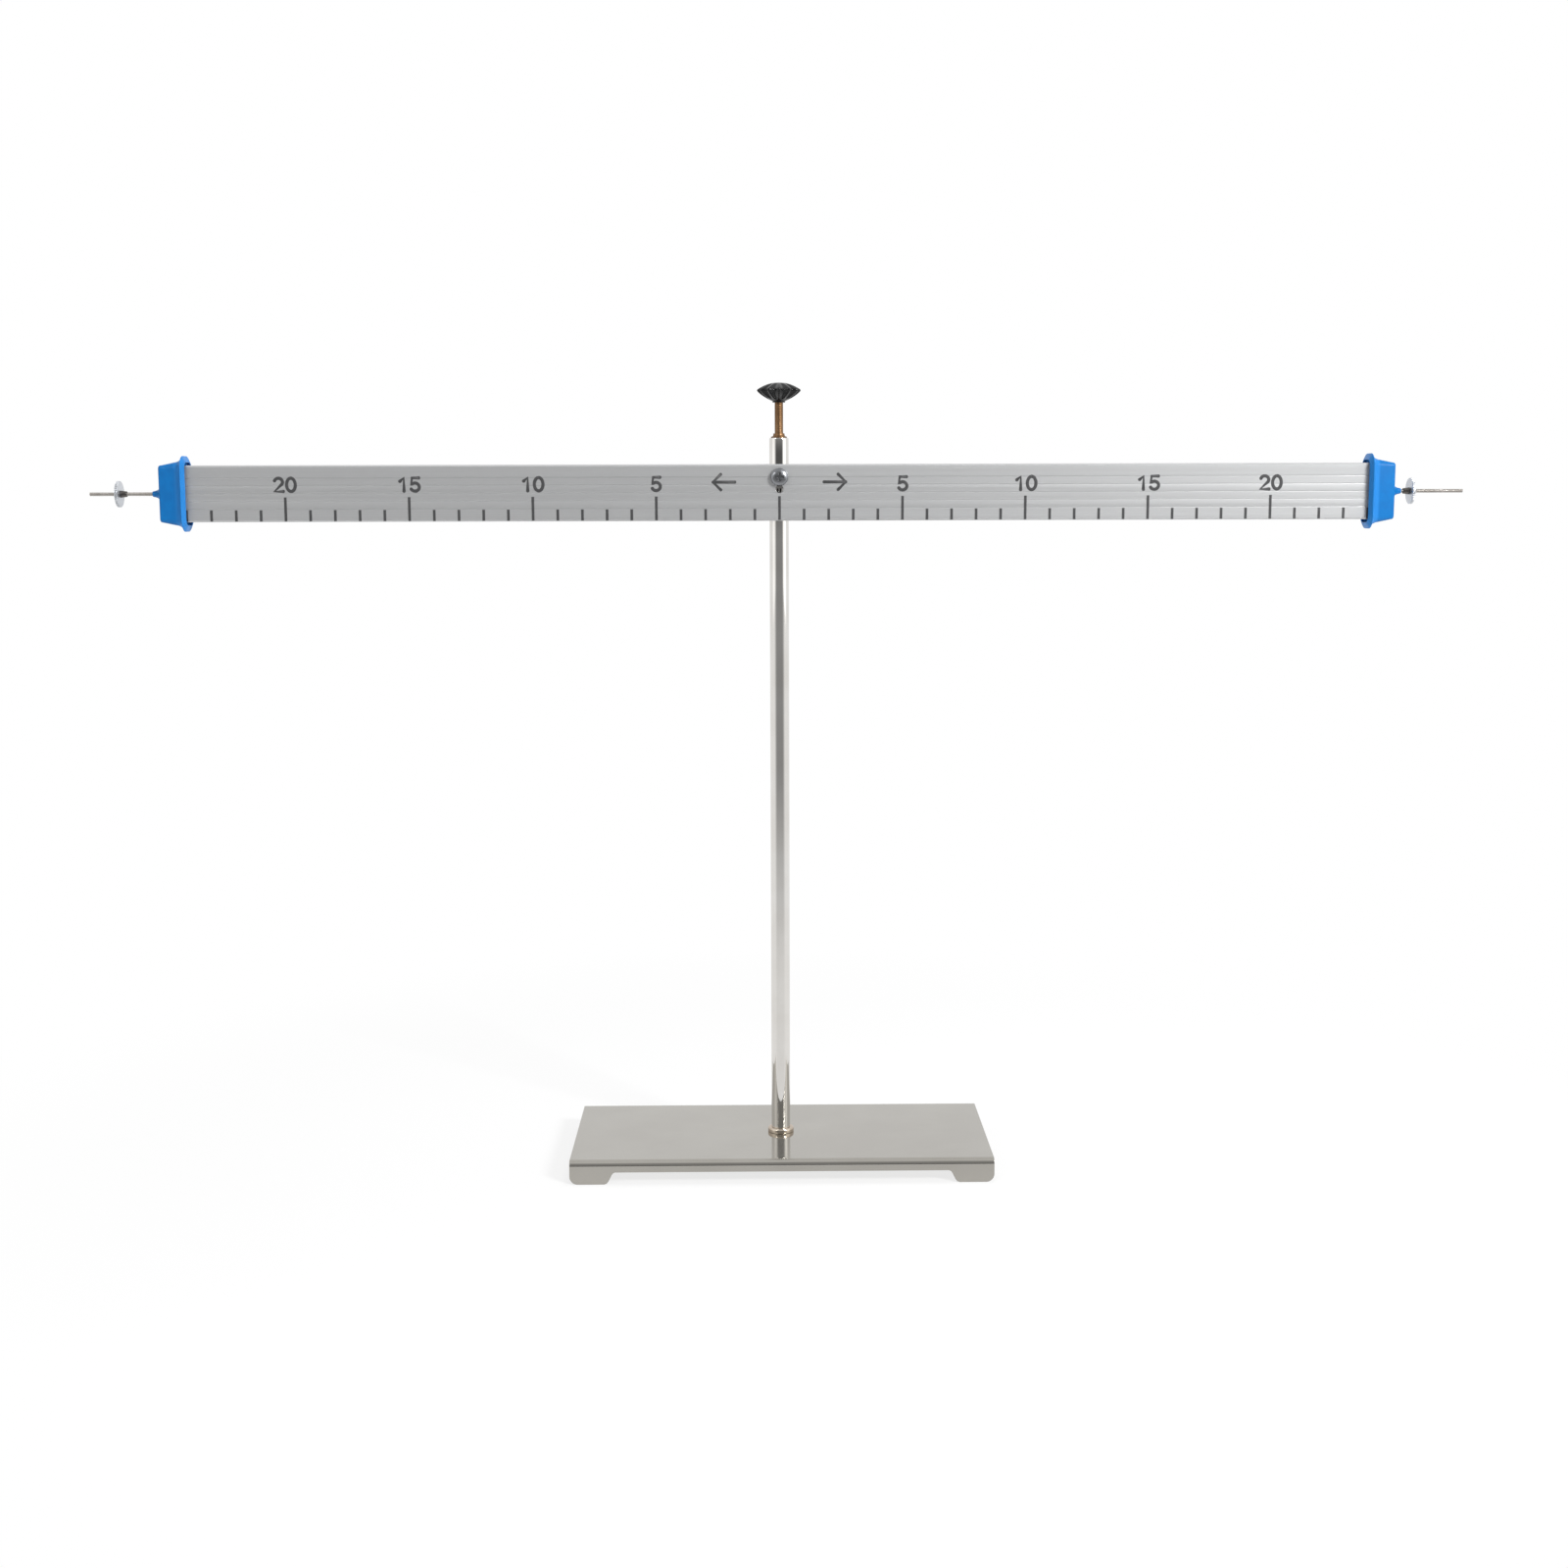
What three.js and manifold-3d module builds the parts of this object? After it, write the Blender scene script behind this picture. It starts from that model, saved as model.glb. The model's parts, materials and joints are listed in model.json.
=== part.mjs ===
// Lever balance on a stand, as used in a school physics lesson. A graduated beam swings on a pivot screw
// at the top of a post, and a small nut on a threaded rod at each end of the beam trims it level.
// Lengths are millimetres. +X runs along the beam to the right, +Y to the back and +Z up.
// The origin is on the ground, on the post's axis.

import * as THREE from 'three';
import { mergeVertices } from 'three/addons/utils/BufferGeometryUtils.js';
import Module from 'manifold-3d';

const wasm = await Module();
wasm.setup();

// Fits shared by all pieces
const clearance = 0.3;
const threadClearance = 0.2;
const overrun = 2;

// Foot: one bent sheet with a flange at the front and the back
const plateWidth = 175;
const plateDepth = 80;
const plateHeight = 10;
const sheet = 1.5;
const bendRadius = 2.6;
const apronHeight = 4.9;
const footWidth = 14.2;
const footLean = 4.6;
const footCurveShare = 0.55;
const footCorner = 3.4;

// Collar, washer and nut that clamp the post to the foot
const collarRadius = 5.5;
const collarHeight = 2;
const collarEdge = 0.5;
const washerRadius = 5;
const washerThickness = 1;
const nutWidth = 8;
const nutThickness = 3.6;
const nutSides = 6;

// Post: a round rod with a stud below and a bored top
const postRadius = 4;
const postLength = 292;
const postEdge = 0.4;
const studRadius = 2.5;
const studReach = 0.5;
const studEdge = 0.4;
const flatDepth = 0.4;
const flatHeight = 9;

// Bush in the post's top
const bushWall = 0.7;
const bushDepth = 8;
const bushCapRadius = 3.3;
const bushCapHeight = 1.1;
const bushCapTaper = 0.6;

// Pivot screw, and the spacer that keeps the beam off the post
const pivotBelowPostTop = 16;
const pivotRadius = 1.5;
const pivotTailReach = 0.8;
const pivotEdge = 0.3;
const pivotHeadRadius = 3.6;
const pivotHeadHeight = 2.3;
const pivotHeadRim = 0.7;
const recessWidth = 0.9;
const recessLength = 3.8;
const recessDepth = 1.2;
const spacerRadius = 3.4;
const spacerThickness = 1.1;

// Beam: a hollow extrusion
const beamLength = 493;
const beamHeight = 22.8;
const beamDepth = 8;
const beamWall = 1.1;
const beamCorner = 0.6;
const beamInnerCorner = 0.3;
const pivotBelowBeamTop = 5.2;
const beamHoleSpacing = 4.8;
const beamHoleRadius = 1.65;
const beamBushWall = 0.6;
const grooveCount = 5;
const groovePitch = 3.1;
const grooveWidth = 0.36;
const grooveDepth = 0.08;

// End cap: a plug with a drafted nose, a conical nub and a curled lip round its mouth
const capLength = 11.2;
const capWall = 0.9;
const capFloor = 4.2;
const capCorner = 2;
const capEdge = 0.6;
const capDraft = 1.1;
const lipStart = 6.4;
const lipCrest = 10;
const lipCrestWidth = 0.3;
const lipRise = 2.6;
const lipTipRise = 0.2;
const lipSkin = 0.9;
const lipFootShare = 0.25;
const lipBackShare = 0.67;
const lipInnerShare = 0.33;
const pocketMouth = 9.6;
const nubLength = 3.3;
const nubRadius = 2.9;
const nubTipRadius = 1.3;
const nubFlareShare = 0.3;

// Balance rods and nuts
const rodRadius = 0.75;
const rodReach = 28.8;
const rodEdge = 0.25;
const rodHeadRadius = 1.7;
const rodHeadHeight = 1.4;
const hubLength = 2.6;
const hubRadius = 1.65;
const hubTipRadius = 1.25;
const discRadius = 5.3;
const discThickness = 1.2;
const discEdge = 0.25;
const discGap = 0.1;
const knurlCount = 36;
const knurlDepth = 0.2;
const leftNutPlace = 16.4;
const rightNutPlace = 6.9;

// Thumbscrew
const stemRadius = 1.75;
const stemShown = 13.2;
const stemInKnob = 5;
const stemEdge = 0.4;
const knobRadius = 9.2;
const knobHeight = 8;
const knobHubRadius = 2.6;
const knobHubHeight = 0.5;
const knobRimHeight = 4.9;
const knobRimRound = 0.5;
const fluteCount = 12;
const fluteDepthShare = 0.15;
const fluteStart = 2.9;
const fluteFull = 6.4;
const knobUnderShare = 0.75;
const knobCrownShare = 0.5;

// Facets
const turnSides = 32;
const smallSides = 20;
const arcSteps = 3;
const curveSteps = 6;
const flutePoints = 6;

// Heights and places that follow from the sizes
const postBase = plateHeight + collarHeight;
const postTop = postBase + postLength;
const pivotHeight = postTop - pivotBelowPostTop;
const flatFront = -(postRadius - flatDepth);
const spacerFront = flatFront - spacerThickness;
const beamBack = spacerFront - clearance;
const beamMiddle = beamBack - beamDepth / 2;
const beamFront = beamBack - beamDepth;
const beamCentreDrop = beamHeight / 2 - pivotBelowBeamTop;
const studHoleRadius = studRadius + clearance;
const stemHoleRadius = stemRadius + clearance;
const bushRadius = stemHoleRadius + bushWall;
const pivotHoleRadius = pivotRadius + clearance;
const beamBushRadius = pivotHoleRadius + beamBushWall;
const rodHoleRadius = rodRadius + threadClearance;
const capEnd = beamLength / 2 + clearance + capFloor;
const knobBase = postTop + bushCapHeight + stemShown;

// Makes a solid that can be cut and joined from a closed geometry.
function solid(geometry) {
  const bare = geometry.clone();
  bare.deleteAttribute('normal');
  bare.deleteAttribute('uv');
  const welded = mergeVertices(bare);
  const corners = welded.index.array;
  const kept = [];
  for (let i = 0; i < corners.length; i += 3) {
    const [a, b, c] = [corners[i], corners[i + 1], corners[i + 2]];
    if (a !== b && b !== c && c !== a) kept.push(a, b, c);
  }
  const vertProperties = new Float32Array(welded.attributes.position.array);
  const triVerts = new Uint32Array(kept);
  return new wasm.Manifold(new wasm.Mesh({ numProp: 3, vertProperties, triVerts }));
}

// Gives back the geometry of a solid.
function geometryOf(body) {
  const { vertProperties, triVerts } = body.getMesh();
  const geometry = new THREE.BufferGeometry();
  geometry.setAttribute('position', new THREE.BufferAttribute(new Float32Array(vertProperties), 3));
  geometry.setIndex(new THREE.BufferAttribute(new Uint32Array(triVerts), 1));
  geometry.computeVertexNormals();
  return geometry;
}

// Turns a profile of radius and height about the Z axis. It runs upwards on the outside.
function turned(profile, sides = turnSides) {
  const points = profile.map(([radius, height]) => new THREE.Vector2(radius, height));
  return solid(new THREE.LatheGeometry(points, sides).rotateX(Math.PI / 2));
}

// Turns a profile that is drawn as a path.
function turnedPath(path, steps, sides) {
  return turned(path.getPoints(steps).map((point) => [point.x, point.y]), sides);
}

// Turns a ring: its profile closes on itself.
function turnedRing(profile, sides = turnSides) {
  return turned([...profile, profile[0]], sides);
}

// Straight round bar about the Z axis from one height to another
function bar(radius, low, high, sides = smallSides) {
  return turned([[0, low], [radius, low], [radius, high], [0, high]], sides);
}

// Straight round bar along Y, for the pivot's holes
function crossBar(radius, front, back, sides = smallSides) {
  const geometry = new THREE.CylinderGeometry(radius, radius, back - front, sides);
  return solid(geometry.translate(0, (front + back) / 2, 0));
}

// Extrudes a shape drawn in Y and Z along X, centred on the origin.
function alongX(shape, length) {
  const geometry = new THREE.ExtrudeGeometry(shape, {
    depth: length, bevelEnabled: false, curveSegments: curveSteps,
  });
  const axes = new THREE.Matrix4().makeBasis(
    new THREE.Vector3(0, 1, 0), new THREE.Vector3(0, 0, 1), new THREE.Vector3(1, 0, 0));
  return solid(geometry.applyMatrix4(axes).translate(-length / 2, 0, 0));
}

// Extrudes a shape drawn in X and Z along Y, centred on the origin.
function alongY(shape, length) {
  const geometry = new THREE.ExtrudeGeometry(shape, {
    depth: length, bevelEnabled: false, curveSegments: curveSteps,
  });
  return solid(geometry.rotateX(Math.PI / 2).translate(0, length / 2, 0));
}

// Joins rings of points that lie in order into one closed skin, with a flat fan over the first and
// the last.
function lofted(rings) {
  const count = rings[0].length;
  const points = rings.flat();
  const faces = [];
  for (let r = 0; r + 1 < rings.length; r += 1) {
    for (let i = 0; i < count; i += 1) {
      const next = (i + 1) % count;
      const [a, b] = [r * count + i, r * count + next];
      const [c, d] = [a + count, b + count];
      faces.push(a, b, d, a, d, c);
    }
  }
  for (const ring of [0, rings.length - 1]) {
    const centre = new THREE.Vector3();
    rings[ring].forEach((point) => centre.add(point));
    const hub = points.push(centre.divideScalar(count)) - 1;
    for (let i = 0; i < count; i += 1) {
      const [a, b] = [ring * count + i, ring * count + (i + 1) % count];
      if (ring === 0) faces.push(hub, b, a);
      else faces.push(hub, a, b);
    }
  }
  const geometry = new THREE.BufferGeometry().setFromPoints(points);
  geometry.setIndex(faces);
  return solid(geometry);
}

// Points round a rectangle with rounded corners, from its half sizes
function roundedRectangle(halfWidth, halfHeight, radius) {
  const points = [];
  const quarters = [[1, 1], [-1, 1], [-1, -1], [1, -1]];
  for (const [quarter, [right, up]] of quarters.entries()) {
    for (let i = 0; i <= arcSteps; i += 1) {
      const angle = (quarter + i / arcSteps) * Math.PI / 2;
      points.push(new THREE.Vector2(
        right * (halfWidth - radius) + radius * Math.cos(angle),
        up * (halfHeight - radius) + radius * Math.sin(angle)));
    }
  }
  return points;
}

// Base plate: the bent sheet is its section extruded along X and trimmed to its front outline.
function basePlate() {
  const halfDepth = plateDepth / 2;
  const innerDepth = halfDepth - sheet;
  const innerBend = bendRadius - sheet;
  const under = plateHeight - sheet;
  const section = new THREE.Shape();
  section.moveTo(-halfDepth, 0);
  section.lineTo(-innerDepth, 0);
  section.lineTo(-innerDepth, under - innerBend);
  section.absarc(-innerDepth + innerBend, under - innerBend, innerBend, Math.PI, Math.PI / 2, true);
  section.lineTo(innerDepth - innerBend, under);
  section.absarc(innerDepth - innerBend, under - innerBend, innerBend, Math.PI / 2, 0, true);
  section.lineTo(innerDepth, 0);
  section.lineTo(halfDepth, 0);
  section.lineTo(halfDepth, plateHeight - bendRadius);
  section.absarc(halfDepth - bendRadius, plateHeight - bendRadius, bendRadius, 0, Math.PI / 2, false);
  section.lineTo(-halfDepth + bendRadius, plateHeight);
  section.absarc(
    -halfDepth + bendRadius, plateHeight - bendRadius, bendRadius, Math.PI / 2, Math.PI, false);
  section.lineTo(-halfDepth, 0);

  const halfWidth = plateWidth / 2;
  const footInner = halfWidth - footWidth;
  const apron = plateHeight - apronHeight;
  const curve = footLean * footCurveShare;
  const front = new THREE.Shape();
  front.moveTo(halfWidth, plateHeight + overrun);
  front.lineTo(-halfWidth, plateHeight + overrun);
  front.lineTo(-halfWidth, footCorner);
  front.absarc(-halfWidth + footCorner, footCorner, footCorner, Math.PI, Math.PI * 3 / 2, false);
  front.lineTo(-footInner, 0);
  front.bezierCurveTo(-footInner + curve, 0, -footInner + curve, apron, -footInner + footLean, apron);
  front.lineTo(footInner - footLean, apron);
  front.bezierCurveTo(footInner - curve, apron, footInner - curve, 0, footInner, 0);
  front.lineTo(halfWidth - footCorner, 0);
  front.absarc(halfWidth - footCorner, footCorner, footCorner, -Math.PI / 2, 0, false);
  front.lineTo(halfWidth, plateHeight + overrun);

  const sheetMetal = alongX(section, plateWidth + overrun).intersect(alongY(front, plateDepth + overrun));
  return sheetMetal.subtract(bar(studHoleRadius, under - overrun, plateHeight + overrun));
}

// Ring between the plate and the post
function footCollar() {
  return turnedRing([
    [studHoleRadius, 0], [collarRadius, 0], [collarRadius, collarHeight - collarEdge],
    [collarRadius - collarEdge, collarHeight], [studHoleRadius, collarHeight],
  ]);
}

// Washer that hangs from the plate's underside
function baseWasher() {
  return turnedRing([
    [studHoleRadius, -washerThickness], [washerRadius, -washerThickness],
    [washerRadius, 0], [studHoleRadius, 0],
  ]);
}

// Hexagon nut with chamfered corners
function baseNut() {
  const acrossCorners = nutWidth / Math.cos(Math.PI / nutSides);
  const hexagon = turned([
    [0, -nutThickness], [acrossCorners / 2, -nutThickness], [acrossCorners / 2, 0], [0, 0],
  ], nutSides);
  const rounded = turned([
    [0, -nutThickness], [nutWidth / 2, -nutThickness],
    [acrossCorners / 2, -nutThickness + (acrossCorners - nutWidth) / 2], [acrossCorners / 2, 0], [0, 0],
  ]);
  return hexagon.intersect(rounded).subtract(bar(studHoleRadius, -nutThickness - overrun, overrun));
}

// Post: stud, rod and stepped bore are one profile, measured from the rod's lower end.
function post() {
  const studEnd = studReach - postBase;
  const pivotUp = postLength - pivotBelowPostTop;
  const bushSeat = postLength - bushDepth - clearance;
  const boreEnd = pivotUp - pivotHoleRadius;
  const rod = turned([
    [0, studEnd], [studRadius - studEdge, studEnd], [studRadius, studEnd + studEdge], [studRadius, 0],
    [postRadius, 0], [postRadius, postLength - postEdge], [postRadius - postEdge, postLength],
    [bushRadius + clearance, postLength], [bushRadius + clearance, bushSeat],
    [stemHoleRadius, bushSeat], [stemHoleRadius, boreEnd], [0, boreEnd],
  ]);
  const reach = postRadius + overrun;
  const hole = crossBar(pivotHoleRadius, -reach, reach).translate(0, 0, pivotUp);
  const flatCut = new THREE.BoxGeometry(postRadius * 2, flatDepth + overrun, flatHeight);
  flatCut.translate(0, flatFront - (flatDepth + overrun) / 2, pivotUp);
  return rod.subtract(hole).subtract(solid(flatCut));
}

// Bush with a low conical cap, from the post's top downwards
function postTopBush() {
  return turnedRing([
    [stemHoleRadius, -bushDepth], [bushRadius, -bushDepth], [bushRadius, 0], [bushCapRadius, 0],
    [bushCapRadius - bushCapTaper, bushCapHeight], [stemHoleRadius, bushCapHeight],
  ]);
}

// Pivot screw along Y: a domed head with a cross recess, in front of the beam, and a plain shank
function pivotScrew() {
  const headBack = beamFront - clearance;
  const shankEnd = postRadius + pivotTailReach;
  const shankLength = shankEnd - headBack;
  const profile = new THREE.Path();
  profile.moveTo(0, -pivotHeadHeight);
  profile.quadraticCurveTo(pivotHeadRadius, -pivotHeadHeight, pivotHeadRadius, -pivotHeadRim);
  profile.lineTo(pivotHeadRadius, 0);
  profile.lineTo(pivotRadius, 0);
  profile.lineTo(pivotRadius, shankLength - pivotEdge);
  profile.lineTo(pivotRadius - pivotEdge, shankLength);
  profile.lineTo(0, shankLength);
  let screw = turnedPath(profile, curveSteps, turnSides);
  for (const [width, length] of [[recessWidth, recessLength], [recessLength, recessWidth]]) {
    const slot = new THREE.BoxGeometry(width, length, recessDepth + overrun);
    screw = screw.subtract(solid(slot.translate(0, 0, -pivotHeadHeight + (recessDepth - overrun) / 2)));
  }
  return screw;
}

// Spacer between the beam and the post
function pivotSpacer() {
  return turnedRing([
    [pivotHoleRadius, 0], [spacerRadius, 0],
    [spacerRadius, spacerThickness], [pivotHoleRadius, spacerThickness],
  ]);
}

// Beam: hollow section with fine grooves on both faces, drilled at the pivot and once more below it
function leverBeam() {
  const [halfDepth, halfHeight] = [beamDepth / 2, beamHeight / 2];
  const section = new THREE.Shape();
  section.moveTo(-halfDepth + beamCorner, -halfHeight);
  for (const side of [1, -1]) {
    section.lineTo(side * (halfDepth - beamCorner), -side * halfHeight);
    section.lineTo(side * halfDepth, -side * (halfHeight - beamCorner));
    for (let i = 0; i < grooveCount; i += 1) {
      const centre = side * (i - (grooveCount - 1) / 2) * groovePitch;
      section.lineTo(side * halfDepth, centre - side * grooveWidth / 2);
      section.lineTo(side * (halfDepth - grooveDepth), centre);
      section.lineTo(side * halfDepth, centre + side * grooveWidth / 2);
    }
    section.lineTo(side * halfDepth, side * (halfHeight - beamCorner));
    section.lineTo(side * (halfDepth - beamCorner), side * halfHeight);
  }
  section.holes.push(new THREE.Path(roundedRectangle(
    halfDepth - beamWall, halfHeight - beamWall, beamInnerCorner)));
  const pivotHole = crossBar(beamBushRadius + clearance, -beamDepth, beamDepth);
  const lowerHole = crossBar(beamHoleRadius, -beamDepth, beamDepth);
  return alongX(section, beamLength)
    .subtract(pivotHole.translate(0, 0, beamCentreDrop))
    .subtract(lowerHole.translate(0, 0, beamCentreDrop - beamHoleSpacing));
}

// Bush through both walls of the beam
function pivotBush() {
  return turnedRing([
    [pivotHoleRadius, -beamDepth / 2], [beamBushRadius, -beamDepth / 2],
    [beamBushRadius, beamDepth / 2], [pivotHoleRadius, beamDepth / 2],
  ], smallSides);
}

// End cap, measured inwards from its outer end. Its skin is one path of depth and offset from its wall.
// The path runs down the outside, over the curled lip and back up the pocket to its floor.
function endCap() {
  const path = new THREE.Path();
  path.moveTo(0, -capDraft - capEdge);
  path.quadraticCurveTo(0, -capDraft, capEdge, -capDraft);
  path.lineTo(lipStart, 0);
  const lipFront = lipCrest - lipCrestWidth;
  path.quadraticCurveTo(lipFront, lipRise * lipFootShare, lipFront, lipRise);
  path.lineTo(lipCrest, lipRise);
  const lipBack = (lipCrest + capLength) / 2 + lipCrestWidth;
  path.quadraticCurveTo(lipBack, lipRise * lipBackShare, capLength, lipTipRise);
  path.lineTo(capLength - lipSkin / 2, lipTipRise - lipSkin / 2);
  path.quadraticCurveTo(
    pocketMouth + lipSkin, lipRise * lipInnerShare, pocketMouth, lipRise - lipSkin * 2);
  path.lineTo(pocketMouth, -capWall);
  path.lineTo(capFloor, -capWall);
  const halfDepth = beamDepth / 2 + clearance + capWall;
  const halfHeight = beamHeight / 2 + clearance + capWall;
  const rings = path.getPoints(arcSteps).map(({ x, y }) => {
    const ring = roundedRectangle(halfDepth + y, halfHeight + y, capCorner + y);
    return ring.map((point) => new THREE.Vector3(-x, point.x, point.y));
  });
  const flare = new THREE.Path();
  flare.moveTo(0, -capFloor / 2);
  flare.lineTo(nubRadius, -capFloor / 2);
  flare.lineTo(nubRadius, 0);
  flare.quadraticCurveTo(nubTipRadius, nubLength * nubFlareShare, nubTipRadius, nubLength);
  flare.lineTo(0, nubLength);
  const nub = turnedPath(flare, arcSteps, smallSides);
  const hole = bar(rodHoleRadius, -capFloor - overrun, nubLength + overrun);
  return lofted(rings.reverse()).add(nub.rotate([0, 90, 0])).subtract(hole.rotate([0, 90, 0]));
}

// Balance rod, measured from the cap's outer end, with its head against the pocket's floor
function balanceRod() {
  return turned([
    [0, -capFloor - rodHeadHeight], [rodHeadRadius, -capFloor - rodHeadHeight], [rodHeadRadius, -capFloor],
    [rodRadius, -capFloor], [rodRadius, rodReach - rodEdge], [rodRadius - rodEdge, rodReach], [0, rodReach],
  ], smallSides);
}

// Conical hub of a balance nut, widest against the disc
function nutHub() {
  return turnedRing([
    [rodHoleRadius, -hubLength], [hubTipRadius, -hubLength], [hubRadius, 0], [rodHoleRadius, 0],
  ], smallSides);
}

// Knurled disc of a balance nut
function nutDisc() {
  const blank = turned([
    [0, 0], [discRadius - discEdge, 0], [discRadius, discEdge], [discRadius, discThickness - discEdge],
    [discRadius - discEdge, discThickness], [0, discThickness],
  ], knurlCount * 2);
  const teeth = [];
  for (let i = 0; i < knurlCount * 2; i += 1) {
    const radius = discRadius - (i % 2) * knurlDepth;
    const angle = i * Math.PI / knurlCount;
    teeth.push(new THREE.Vector2(radius * Math.cos(angle), radius * Math.sin(angle)));
  }
  const prism = new THREE.ExtrudeGeometry(new THREE.Shape(teeth), {
    depth: discThickness + overrun, bevelEnabled: false,
  });
  return blank
    .intersect(solid(prism.translate(0, 0, -overrun / 2)))
    .subtract(bar(rodHoleRadius, -overrun, discThickness + overrun));
}

// Stem of the thumbscrew, measured up and down from the knob's lower end
function thumbscrewStem() {
  const tip = pivotHeight + pivotRadius + clearance - knobBase;
  return turned([
    [0, tip], [stemRadius - stemEdge, tip], [stemRadius, tip + stemEdge],
    [stemRadius, stemInKnob], [0, stemInKnob],
  ], smallSides);
}

// Knob: a lens-shaped profile with flutes that fade out towards the hub and the crown
function thumbscrewKnob() {
  const path = new THREE.Path();
  path.moveTo(knobHubRadius, 0);
  path.lineTo(knobHubRadius, knobHubHeight);
  const rim = knobRadius - knobRimRound;
  path.quadraticCurveTo(
    knobRadius * knobUnderShare, knobRimHeight / 2, rim, knobRimHeight - knobRimRound);
  path.quadraticCurveTo(knobRadius, knobRimHeight, rim, knobRimHeight + knobRimRound);
  path.quadraticCurveTo(knobRadius * knobCrownShare, knobHeight, knobHubRadius / 2, knobHeight);
  const count = fluteCount * flutePoints;
  const rings = path.getPoints(curveSteps).map(({ x, y }) => {
    const fade = THREE.MathUtils.smoothstep(x, fluteStart, fluteFull);
    return Array.from({ length: count }, (_, i) => {
      const angle = i * 2 * Math.PI / count;
      const flute = (1 - Math.cos(angle * fluteCount)) / 2;
      const radius = x * (1 - fluteDepthShare * flute * fade);
      return new THREE.Vector3(radius * Math.cos(angle), radius * Math.sin(angle), y);
    });
  });
  return lofted(rings).subtract(bar(stemHoleRadius, -overrun, stemInKnob + clearance));
}

function finish(color, roughness, metalness) {
  return new THREE.MeshStandardMaterial({ color, roughness, metalness });
}

function piece(parent, name, body, material) {
  const mesh = new THREE.Mesh(geometryOf(body), material);
  mesh.name = name;
  parent.add(mesh);
  return mesh;
}

const balance = new THREE.Group();

// Stand
piece(balance, 'base_plate', basePlate(), finish(0xbcb8b1, 0.18, 1));
piece(balance, 'foot_collar', footCollar(), finish(0xb9ad9c, 0.2, 1)).position.z = plateHeight;
const plateUnderside = plateHeight - sheet;
piece(balance, 'base_washer', baseWasher(), finish(0xa8a8a6, 0.35, 1)).position.z = plateUnderside;
const lowNut = piece(balance, 'base_nut', baseNut(), finish(0xa8a8a6, 0.35, 1));
lowNut.position.z = plateUnderside - washerThickness;
piece(balance, 'post', post(), finish(0xc9c6c0, 0.08, 1)).position.z = postBase;
piece(balance, 'post_top_bush', postTopBush(), finish(0xb39770, 0.3, 1)).position.z = postTop;

// Pivot
const screw = piece(balance, 'pivot_screw', pivotScrew(), finish(0x6a6c70, 0.3, 1));
screw.position.set(0, beamFront - clearance, pivotHeight);
screw.rotation.x = -Math.PI / 2;
const spacer = piece(balance, 'pivot_spacer', pivotSpacer(), finish(0xa8a8a6, 0.35, 1));
spacer.position.set(0, spacerFront, pivotHeight);
spacer.rotation.x = -Math.PI / 2;

// Lever, about the pivot, with the same end turned round for the left
const lever = new THREE.Group();
lever.position.set(0, beamMiddle, pivotHeight - beamCentreDrop);
balance.add(lever);
piece(lever, 'lever_beam', leverBeam(), finish(0xb4b6b8, 0.35, 1));
const bush = piece(lever, 'pivot_bush', pivotBush(), finish(0xb39770, 0.3, 1));
bush.position.z = beamCentreDrop;
bush.rotation.x = -Math.PI / 2;

for (const [side, turn, nutPlace] of [['left', Math.PI, leftNutPlace], ['right', 0, rightNutPlace]]) {
  const end = new THREE.Group();
  end.rotation.z = turn;
  lever.add(end);
  piece(end, `${side}_end_cap`, endCap(), finish(0x1f70c0, 0.35, 0)).position.x = capEnd;
  for (const [name, body, place, material] of [
    ['balance_rod', balanceRod(), 0, finish(0x8b847c, 0.35, 1)],
    ['nut_hub', nutHub(), nutPlace - discGap, finish(0x4d4843, 0.35, 1)],
    ['nut_disc', nutDisc(), nutPlace, finish(0xa7abb4, 0.3, 1)],
  ]) {
    const mesh = piece(end, `${side}_${name}`, body, material);
    mesh.position.x = capEnd + place;
    mesh.rotation.y = Math.PI / 2;
  }
}

// Thumbscrew
piece(balance, 'thumbscrew_stem', thumbscrewStem(), finish(0x9a7c52, 0.3, 1)).position.z = knobBase;
piece(balance, 'thumbscrew_knob', thumbscrewKnob(), finish(0x262627, 0.4, 0)).position.z = knobBase;

export default balance;
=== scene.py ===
# %% [markdown]
# # A lever balance on its stand
# A lever balance is a school instrument. A graduated aluminium beam swings on a screw at the top of
# a plated post, and a small nut at each end trims it level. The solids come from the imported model,
# in metres, and this lesson gives them their finer shapes, their printed scale and their finishes.
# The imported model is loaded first, because every later measure is read from it.

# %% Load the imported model
import json
import math

import bmesh
import bpy
from mathutils import Matrix, Vector

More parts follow.
